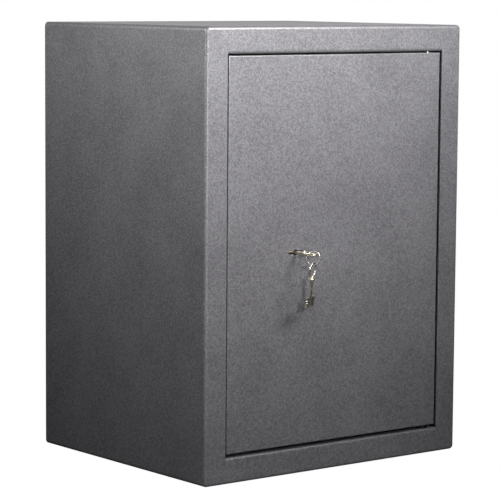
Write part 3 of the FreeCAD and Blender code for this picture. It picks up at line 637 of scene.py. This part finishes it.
@dataclass
class DoorSkin:
    """The folded face of the door, with a broken edge round the keyhole."""

    sides: tuple[float, float, float, float] = (-186.2, 183.5, 40.0, 562.0)
    front: float = FRONT
    plate: float = 4.0
    wall: float = 3.0
    deep: float = 25.0
    bend: float = 1.5
    lock: tuple[float, float] = LOCK
    slot: tuple[float, float] = (12.8, 2.3)
    round_end: float = 2.0
    hole: float = 4.0
    pivot: tuple[float, float] = (170.0, -176.5)
    bolt_y: float = -172.0
    bolt_levels: tuple[float, float, float] = (110.0, 240.0, 490.0)
    bolt_hole: float = 8.3
    pivot_hole: float = 5.0

    def directions(self) -> np.ndarray:
        """Angles from the lock: even, denser towards the slot's ends, and exactly at the corners."""
        low_x, high_x, low_z, high_z = self.sides
        corners = [math.atan2(z - self.lock[1], x - self.lock[0]) % (2.0 * math.pi)
                   for x in (low_x, high_x) for z in (low_z, high_z)]
        ends = np.radians(np.linspace(-14.0, 14.0, 57))
        turns = np.concatenate([full_turn(144), corners, ends, ends + math.pi]) % (2.0 * math.pi)
        return np.unique(np.round(turns, 5))[::-1]

    def keyhole(self, turns: np.ndarray, grow: float, y: float) -> np.ndarray:
        """The keyhole's loop, grown outwards: the farther of a circle and a round-ended slot.

        A ray leaves the slot through its flat side at high / |sin a|, or through its end, where the end's
        corner circle is met at c.d + sqrt((c.d)^2 - |c|^2 + r^2).
        """
        long, high = self.slot[0] + grow, self.slot[1] + grow
        corner = self.round_end + grow
        cosine, sine = np.abs(np.cos(turns)), np.abs(np.sin(turns))
        flat = high / np.maximum(sine, 1e-6)
        side = long / np.maximum(cosine, 1e-6)
        along = cosine * (long - corner) + sine * (high - corner)
        inside = along ** 2 - (long - corner) ** 2 - (high - corner) ** 2 + corner ** 2
        bend = along + np.sqrt(np.maximum(inside, 0.0))
        reach = np.minimum(flat, side)
        at_corner = (reach * cosine > long - corner) & (reach * sine > high - corner)
        reach = np.where(at_corner, bend, reach)
        reach = np.maximum(reach, self.hole + grow)
        return np.stack([self.lock[0] + reach * np.cos(turns), np.full(len(turns), y),
                         self.lock[1] + reach * np.sin(turns)], axis=-1)

    def outline(self, turns: np.ndarray, inset: float, y: float) -> np.ndarray:
        """The loop of the door's edge: each full-size point pulled in from the sides it is on."""
        low_x, high_x, low_z, high_z = self.sides
        cosine, sine = np.cos(turns), np.sin(turns)
        width = np.where(cosine > 0.0, high_x - self.lock[0], self.lock[0] - low_x)
        height = np.where(sine > 0.0, high_z - self.lock[1], self.lock[1] - low_z)
        reach = np.minimum(width / np.maximum(np.abs(cosine), 1e-9), height / np.maximum(np.abs(sine), 1e-9))
        x = np.clip(self.lock[0] + reach * cosine, low_x + inset, high_x - inset)
        z = np.clip(self.lock[1] + reach * sine, low_z + inset, high_z - inset)
        return np.stack([x, np.full(len(turns), y), z], axis=-1)

    def build(self, finishes: Finishes) -> bpy.types.Object:
        """Builds, drills, dresses and registers the skin in place of the CAD panel."""
        turns = self.directions()
        face, inside, end = self.front, self.front + self.plate, self.front + self.deep
        loops = [self.keyhole(turns, grow, y) for grow, y in
                 ((0.3, inside), (0.0, inside - 0.3), (0.0, face + 0.45), (0.15, face + 0.13), (0.45, face),
                  (0.8, face))]
        edge = [(self.bend + 0.5, face)] + arc((self.bend, face + self.bend), self.bend, 270.0, 180.0, 6)
        edge += [(0.0, end - 0.3), (0.3, end), (self.wall - 0.3, end), (self.wall, end - 0.3),
                 (self.wall, inside + 0.5), (self.wall + 0.15, inside + 0.15), (self.wall + 0.5, inside),
                 (self.wall + 1.0, inside)]
        loops += [self.outline(turns, inset, y) for inset, y in with_support(edge)]
        thing = Surface.from_grid(np.stack(loops), close_rows=True).to_object("door_skin")
        left, bottom, top = self.sides[0], self.sides[2], self.sides[3]
        middle = self.wall / 2.0
        holes = [Drilling("x", (left + middle, self.bolt_y, level), self.bolt_hole, self.wall + 3.0)
                 for level in self.bolt_levels]
        holes += [Drilling("z", (*self.pivot, level), self.pivot_hole, self.wall + 2.0)
                  for level in (bottom + middle, top - middle)]
        drill(thing, holes)
        finishes.dress(thing, "powder_coat", "door", "door_panel")
        return thing


# ---------------------------------------------------------------------------------------------
# Panels, shelf and screws
# ---------------------------------------------------------------------------------------------

@dataclass
class FlatPanel:
    """A flat sheet in X and Z with rounded corners, broken edges and round holes."""

    name: str
    slot: str
    body: str
    node: str
    sides: tuple[float, float, float, float]
    depth: tuple[float, float]
    corner: float
    holes: tuple[tuple[float, float], ...]
    hole_radius: float
    edge: float = 0.25

    def build(self, finishes: Finishes) -> bpy.types.Object:
        """Builds, drills, dresses and registers the panel."""
        low_x, high_x, low_z, high_z = self.sides
        front, back = self.depth
        loops = []
        for inset, y in ((self.edge, front), (0.0, front + self.edge), (0.0, back - self.edge),
                         (self.edge, back)):
            flat = rounded_loop(low_x + inset, high_x - inset, low_z + inset, high_z - inset,
                                self.corner - inset)
            loops.append(np.insert(flat, 1, y, axis=1))
        thing = Surface.from_grid(np.stack(loops), caps=True).to_object(self.name)
        drill(thing, [Drilling("y", (x, (front + back) / 2.0, z), self.hole_radius, back - front + 4.0)
                      for x, z in self.holes])
        finishes.dress(thing, self.slot, self.body, self.node)
        return thing


@dataclass
class FoldedShelf:
    """The shelf: a sheet with its front edge rolled down and then back under."""

    half_wide: float = 218.5
    front: float = -118.5
    back: float = 180.5
    top: float = 322.0
    fold: float = 18.0
    hem: float = 12.0
    thick: float = 1.5
    bend: float = 2.5

    def build(self, finishes: Finishes) -> bpy.types.Object:
        """Carries the folded outline, in Y and Z, along X."""
        inner = self.bend - self.thick
        upper = (self.front + self.bend, self.top - self.bend)
        lower = (self.front + self.bend, self.top - self.fold + self.bend)
        end, low = self.front + self.hem, self.top - self.fold
        outline = [(self.back, self.top), *arc(upper, self.bend, 90.0, 180.0),
                   *arc(lower, self.bend, 180.0, 270.0), (end, low), (end, low + self.thick),
                   *arc(lower, inner, 270.0, 180.0), *arc(upper, inner, 180.0, 90.0),
                   (self.back, self.top - self.thick)]
        thing = along_x(with_support(outline), -self.half_wide, self.half_wide).to_object("shelf_skin")
        finishes.dress(thing, "inner_coat", "cabinet", "shelf")
        return thing


@dataclass
class CapScrews:
    """Domed screws with a hexagon socket, heads on the + side of their seats."""

    name: str
    body: str
    node: str
    axis: str
    seats: tuple[tuple[float, float, float], ...]
    length: float
    head: float = 4.75
    rise: float = 2.6
    radius: float = 2.5
    socket: float = 1.5
    crown: float = 1.1
    point: float = 0.4
    broken: float = 0.15

    def one(self) -> Surface:
        """One screw along +Z: loops of (radius, height), round outside and six-sided in the socket."""
        turns = full_turn(ROUND)
        six = math.cos(math.pi / 6.0) / np.cos((turns % (math.pi / 3.0)) - math.pi / 6.0)
        dome = [(self.head - self.crown + self.crown * math.cos(turn),
                 self.rise * 0.45 + self.rise * 0.55 * math.sin(turn))
                for turn in np.linspace(0.0, math.pi / 2.0, 8)]
        outside = [(0.05, -self.length), (self.radius - self.point, -self.length),
                   (self.radius, self.point - self.length), (self.radius, -0.2), (self.radius + 0.1, 0.0),
                   (self.head - self.broken, 0.0), (self.head, self.broken), *dome,
                   (self.socket + 0.6, self.rise)]
        inside = [(self.socket + self.broken, self.rise), (self.socket, self.rise - self.broken),
                  (self.socket, self.rise / 2.0), (0.05, self.rise / 2.0 - 0.3)]
        reach = np.stack([np.full(ROUND, radius) for radius, _ in outside]
                         + [six * radius for radius, _ in inside])
        height = np.array([[height] for _, height in outside + inside])
        grid = np.stack([reach * np.cos(turns), reach * np.sin(turns), np.broadcast_to(height, reach.shape)],
                        axis=-1)
        return Surface.from_grid(grid, caps=True)

    def build(self, finishes: Finishes) -> bpy.types.Object:
        """Builds, dresses and registers all the screws of one node."""
        turn = {"y": turn_about("X", -90.0), "z": np.eye(3)}[self.axis]
        first, *others = [self.one().moved(turn, np.array(seat)) for seat in self.seats]
        thing = first.joined(*others).to_object(self.name)
        finishes.dress(thing, "screw_steel", self.body, self.node)
        return thing


COVER_SPOTS = tuple((x, z) for x in (-134.0, 142.0) for z in (56.0, 360.0, 546.0))
ANCHOR_SPOTS = tuple((x, z) for x in (-130.0, 130.0) for z in (130.0, 470.0))
PANELS = (
    FlatPanel("back_skin", "powder_coat", "cabinet", "back_panel", (-219.5, 219.5, 3.0, 597.0),
              (184.3, 187.3), 3.0, ANCHOR_SPOTS, 6.0),
    FlatPanel("cover_skin", "inner_coat", "door", "inner_cover", (-182.2, 154.0, 44.0, 558.0),
              (-162.2, -160.7), 1.0, COVER_SPOTS, 2.5),
)
SCREWS = (
    CapScrews("cover_screw_set", "door", "cover_screws", "y",
              tuple((x, -160.7, z) for x, z in COVER_SPOTS), 9.5),
    CapScrews("shelf_screw_set", "cabinet", "shelf_screws", "z",
              tuple((x, y, 322.0) for x in (-208.5, 208.5) for y in (117.5, -52.5)), 7.5),
)


# ---------------------------------------------------------------------------------------------
# Keys and split ring
# ---------------------------------------------------------------------------------------------

@dataclass
class DoubleBitKey:
    """A cast and plated double-bit key along Y: tip at +Y, bow at -Y, y = 0 at the door's face."""

    shank: float = 2.3
    tip: float = 22.5
    pilot: float = 3.0
    bow_middle: float = -31.0
    bow_half: tuple[float, float] = (10.0, 10.2)
    rim: float = 2.0
    bow_thick: float = 1.8
    collar: tuple[float, float] = (-19.0, -16.5)
    collar_radius: float = 4.0
    bit_half: float = 12.0
    bit_thick: float = 2.6
    bit_long: float = 13.6
    steps: tuple[tuple[float, float, float], ...] = ((0.18, 0.30, 2.2), (0.44, 0.56, 3.4), (0.70, 0.84, 1.4))
    bevel: float = 0.28
    softness: float = 3.2
    neck_rise: float = 0.35
    collar_round: float = 0.55

    def stem(self) -> Surface:
        """The shank with its turned collar: a profile of (y, radius) spun about the key's axis."""
        low, high = self.collar
        start = self.bow_middle + self.bow_half[1] - self.rim + 0.3
        neck = self.shank + self.neck_rise
        profile = [(start, 0.6), (start + 0.15, self.shank - 0.5), (start + 0.7, self.shank)]
        profile += [(low - 0.5, self.shank), (low - 0.05, neck), (low, neck + 0.3)]
        radius = (high - low) / 2.0
        profile += [(low + radius - math.cos(turn) * radius,
                     self.collar_radius - self.collar_round + self.collar_round * math.sin(turn) ** 0.6)
                    for turn in np.linspace(0.05, math.pi - 0.05, 13)]
        profile += [(high, neck + 0.3), (high + 0.05, neck), (high + 0.5, self.shank)]
        profile += [(self.tip - 0.6, self.shank), (self.tip - 0.25, self.shank - 0.1),
                    (self.tip - 0.05, self.shank - 0.4), (self.tip, self.shank - 0.8), (self.tip, 0.3)]
        line = np.array(with_support(profile))
        turns = full_turn(ROUND)
        grid = np.stack([line[:, 1:2] * np.cos(turns), np.broadcast_to(line[:, :1], (len(line), ROUND)),
                         line[:, 1:2] * np.sin(turns)], axis=-1)
        return Surface.from_grid(grid, caps=True).flipped()

    def bow(self) -> Surface:
        """The oval eye: a soft-cornered section carried round the ellipse (a cos t, b sin t)."""
        around, about = full_turn(128)[:, None], full_turn(32)[None, :]
        across, up = soft_section(about, self.rim / 2.0, self.bow_thick / 2.0, self.softness)
        half_x, half_y = self.bow_half[0] - self.rim / 2.0, self.bow_half[1] - self.rim / 2.0
        grid = np.stack([(half_x + across) * np.cos(around),
                         self.bow_middle + (half_y + across) * np.sin(around),
                         np.broadcast_to(up, (128, 32))], axis=-1)
        return Surface.from_grid(grid, close_rows=True).flipped()

    def shoulder(self) -> Surface:
        """The cast web between the bow and the collar: an oval section that grows from shank to bow."""
        start, end = self.bow_middle + self.bow_half[1] - self.rim * 0.55, self.collar[0] + 0.2
        share = np.linspace(0.0, 1.0, 12)[:, None]
        about = full_turn(40)[None, :]
        y = start + (end - start) * share
        half_x = self.shank + 2.6 * (1.0 - share) ** 2.0
        half_z = self.shank - (self.shank - self.bow_thick / 2.0) * (1.0 - share) ** 1.5
        grid = np.stack([half_x * np.cos(about), np.broadcast_to(y, (12, 40)), half_z * np.sin(about)],
                        axis=-1)
        return Surface.from_grid(grid, caps=True).flipped()

    def bits(self) -> Surface:
        """Both bits with their steps, as one notched plate with broken edges."""
        end = self.tip - self.pilot
        right = []
        for first, last, deep in self.steps:
            low, high = end - self.bit_long * (1.0 - first), end - self.bit_long * (1.0 - last)
            right += [(self.bit_half, low), (self.bit_half - deep, low), (self.bit_half - deep, high),
                      (self.bit_half, high)]
        start = end - self.bit_long
        outline = [(-self.bit_half, start), (self.bit_half, start), *right, (self.bit_half, end),
                   (-self.bit_half, end), *[(-x, y) for x, y in right[::-1]]]
        corners = np.array(outline)
        before, after = corners - np.roll(corners, 1, axis=0), np.roll(corners, -1, axis=0) - corners
        before /= np.linalg.norm(before, axis=1, keepdims=True)
        after /= np.linalg.norm(after, axis=1, keepdims=True)
        inward = np.stack([-before[:, 1] - after[:, 1], before[:, 0] + after[:, 0]], axis=-1)
        half, side = self.bit_thick / 2.0, self.bit_thick / 2.0 - self.bevel
        levels = ((self.bevel, -half), (0.0, -side), (0.0, side), (self.bevel, half))
        grid = np.stack([np.insert(corners + inward * pull, 2, z, axis=1) for pull, z in levels])
        return Surface.from_grid(grid, caps=True)

    def surface(self) -> Surface:
        """The whole key about its own axis."""
        return self.stem().joined(self.bow(), self.shoulder(), self.bits())


@dataclass
class SplitRing:
    """A ring of flat wire wound twice, the second coil on the first, with one short step between."""

    radius: float = 9.0
    half_wide: float = 0.5
    half_thick: float = 0.25
    lift: float = 0.26
    step: float = 0.35
    cut: float = 0.06
    softness: float = 3.0

    def surface(self) -> Surface:
        """The wire: a section carried along (R cos u, R sin u, lift * tanh((u - 2 pi) / step))."""
        u = np.linspace(self.cut, 4.0 * math.pi - self.cut, 280)[:, None]
        across, up = soft_section(full_turn(16)[None, :], self.half_wide, self.half_thick, self.softness)
        height = self.lift * np.tanh((u - 2.0 * math.pi) / self.step)
        grid = np.stack([(self.radius + across) * np.cos(u), (self.radius + across) * np.sin(u),
                         height + up], axis=-1)
        return Surface.from_grid(grid, caps=True).flipped()


@dataclass
class KeySet:
    """The key in the lock, the ring through its bow, and the spare key that hangs from the ring."""

    lock: tuple[float, float, float] = (LOCK[0], FRONT, LOCK[1])
    ring_out: float = 35.75
    ring_above: float = 4.6
    ring_radius: float = 9.0
    wire: float = 0.55
    slack: float = 0.9
    lean: float = 7.0
    turn: float = 25.0

    def build(self, finishes: Finishes) -> None:
        """Builds, dresses and registers the three pieces."""
        key = DoubleBitKey()
        lock = np.array(self.lock)
        ring_middle = lock + np.array([0.0, -self.ring_out, self.ring_above - self.ring_radius])
        placed = key.surface().moved(np.eye(3), lock)
        finishes.dress(placed.to_object("key_main"), "nickel", "key", "key")
        tilt = np.array(Matrix.Rotation(math.radians(90.0), 3, Vector((-1.0, 1.0, 0.0))))
        ring = SplitRing(radius=self.ring_radius).surface().moved(tilt, ring_middle)
        finishes.dress(ring.to_object("split_ring"), "nickel", "ring", "key_ring")
        turned = turn_about("X", self.lean) @ turn_about("Z", self.turn) @ turn_about("X", -90.0)
        hook = ring_middle - np.array([0.0, 0.0, self.ring_radius])
        grip = np.array([0.0, key.bow_middle - key.bow_half[1] + key.rim + self.wire + self.slack, 0.0])
        spare = key.surface().moved(turned, hook - turned @ grip)
        finishes.dress(spare.to_object("key_spare"), "nickel", "spare", "spare_key")
        log.info("keys and ring built")


# ---------------------------------------------------------------------------------------------
# Studio
# ---------------------------------------------------------------------------------------------

@dataclass
class Softbox:
    """A rectangular lamp that points at a target."""

    name: str
    place: tuple[float, float, float]
    target: tuple[float, float, float]
    size: tuple[float, float]
    power: float
    spread: float = 180.0

    def build(self) -> None:
        """Adds the lamp."""
        lamp = bpy.data.lights.new(self.name, "AREA")
        lamp.shape = "RECTANGLE"
        lamp.size, lamp.size_y = self.size
        lamp.energy = self.power
        lamp.spread = math.radians(self.spread)
        holder = bpy.data.objects.new(self.name, lamp)
        bpy.context.scene.collection.objects.link(holder)
        holder.location = self.place
        aim = Vector(self.target) - Vector(self.place)
        holder.rotation_euler = aim.to_track_quat("-Z", "Y").to_euler()


@dataclass
class Studio:
    """Pale floor, soft lamps and a camera before the left front corner of the safe."""

    camera_place: tuple[float, float, float] = (-2.0268, -2.5611, 0.6493)
    yaw: float = 0.66917645
    pitch: float = 0.11225529
    roll: float = 0.00740969
    lens: float = 167.517
    sensor: float = 36.0
    ambient: float = 0.06
    card_glow: float = 0.9
    floor_half: float = 20.0
    floor_grey: float = 0.08
    boxes: list[Softbox] = field(default_factory=lambda: [
        Softbox("key_box", (0.20, -0.95, 1.02), (-0.08, -0.19, 0.76), (0.7, 0.4), 9.8, 84.0),
        Softbox("top_box", (0.45, -0.85, 1.75), (-0.02, -0.19, 0.40), (0.5, 0.3), 3.0, 120.0),
        Softbox("side_box", (-0.95, 0.20, 1.0), (-0.22, -0.10, 0.76), (0.5, 0.4), 4.0, 84.0),
        Softbox("front_box", (-0.92, -2.2, 0.85), (-0.07, -0.19, 0.42), (0.16, 0.16), 2.35, 36.0),
        Softbox("strip_left", (-1.15, -0.19, 0.80), (-0.22, -0.19, 0.6), (0.04, 0.9), 4.0),
    ])

    def build(self) -> None:
        """Adds camera, world, floor and lamps."""
        self.add_camera()
        self.add_world()
        self.add_floor()
        self.add_cards()
        for box in self.boxes:
            box.build()
        log.info("studio: %d lamps", len(self.boxes))

    def add_camera(self) -> None:
        """Places the camera by yaw from +Y to +X, pitch downwards and roll about its line of sight."""
        ahead = Vector((math.sin(self.yaw) * math.cos(self.pitch), math.cos(self.yaw) * math.cos(self.pitch),
                        -math.sin(self.pitch)))
        level = Vector((math.cos(self.yaw), -math.sin(self.yaw), 0.0))
        over = level.cross(ahead)
        right = math.cos(self.roll) * level + math.sin(self.roll) * over
        upward = math.cos(self.roll) * over - math.sin(self.roll) * level
        data = bpy.data.cameras.new("camera")
        data.lens = self.lens
        data.sensor_width = self.sensor
        data.clip_end = 50.0
        camera = bpy.data.objects.new("camera", data)
        turn = Matrix((right, upward, -ahead)).transposed().to_4x4()
        camera.matrix_world = Matrix.Translation(self.camera_place) @ turn
        bpy.context.scene.collection.objects.link(camera)
        bpy.context.scene.camera = camera

    def add_world(self) -> None:
        """White to the camera, and a weaker even light to everything else."""
        world = bpy.data.worlds.new("studio_world")
        world.use_nodes = True
        bpy.context.scene.world = world
        wires = Wiring(world.node_tree)
        for node in list(world.node_tree.nodes):
            world.node_tree.nodes.remove(node)
        seen = wires.add("Background", _Color=WHITE, _Strength=1.0)
        felt = wires.add("Background", _Color=WHITE, _Strength=self.ambient)
        wires.join(wires.by_ray(felt.outputs[0], seen.outputs[0]), wires.add("OutputWorld").inputs["Surface"])

    def add_sheet(self, name: str, corners: list[tuple[float, float, float]]) -> tuple[
            bpy.types.Object, bpy.types.Material, Wiring, bpy.types.Node]:
        """Adds one flat piece of the studio.

        Args:
            name: the piece's name.
            corners: its four corners.

        Returns:
            The piece, its material, the material's wiring and its shader.
        """
        mesh = bpy.data.meshes.new(name)
        mesh.from_pydata(corners, [], [(0, 1, 2, 3)])
        sheet = bpy.data.objects.new(name, mesh)
        bpy.context.scene.collection.objects.link(sheet)
        material, wires, shader, _ = start_material(name + "_white")
        mesh.materials.append(material)
        return sheet, material, wires, shader

    def add_card(self, name: str, corners: list[tuple[float, float, float]]) -> None:
        """A white wall that only mirror-like reflections pick up."""
        card, _, _, shader = self.add_sheet(name, corners)
        shader.inputs["Base Color"].default_value = (0.0, 0.0, 0.0, 1.0)
        shader.inputs["Emission Color"].default_value = (1.0, 0.97, 0.95, 1.0)
        shader.inputs["Emission Strength"].default_value = self.card_glow
        card.visible_camera = False
        card.visible_diffuse = False
        card.visible_shadow = False

    def add_cards(self) -> None:
        """One card behind the right side, for the top's edge, and one beside the camera, for the keys."""
        self.add_card("backdrop", [(-0.2, 4.8, 0.3), (4.2, 0.4, 0.3), (4.2, 0.4, 1.9), (-0.2, 4.8, 1.9)])
        self.add_card("front_card", [(-2.6, -1.6, 0.0), (-1.0, -3.0, 0.0), (-1.0, -3.0, 0.75),
                                     (-2.6, -1.6, 0.75)])

    def add_floor(self) -> None:
        """A wide floor under the safe: white to the camera, and a dull grey to everything else."""
        half, grey = self.floor_half, self.floor_grey
        corners = [(-half, -half, 0.0), (half, -half, 0.0), (half, half, 0.0), (-half, half, 0.0)]
        _, material, wires, shader = self.add_sheet("floor", corners)
        shader.inputs["Base Color"].default_value = (grey, grey, grey, 1.0)
        shader.inputs["Roughness"].default_value = 0.9
        glow = wires.add("Emission", _Color=WHITE, _Strength=1.0)
        wires.join(wires.by_ray(shader.outputs[0], glow.outputs[0]),
                   material.node_tree.nodes["Material Output"].inputs["Surface"])


def main() -> None:
    """Builds the safe's looks in order."""
    bpy.context.scene.view_settings.view_transform = "Standard"
    Studio().build()
    finishes = Finishes()
    finishes.dress_frame()
    CabinetSkin().build(finishes)
    DoorSkin().build(finishes)
    FoldedShelf().build(finishes)
    for piece in (*PANELS, *SCREWS):
        piece.build(finishes)
    KeySet().build(finishes)


if __name__ == "__main__":
    main()
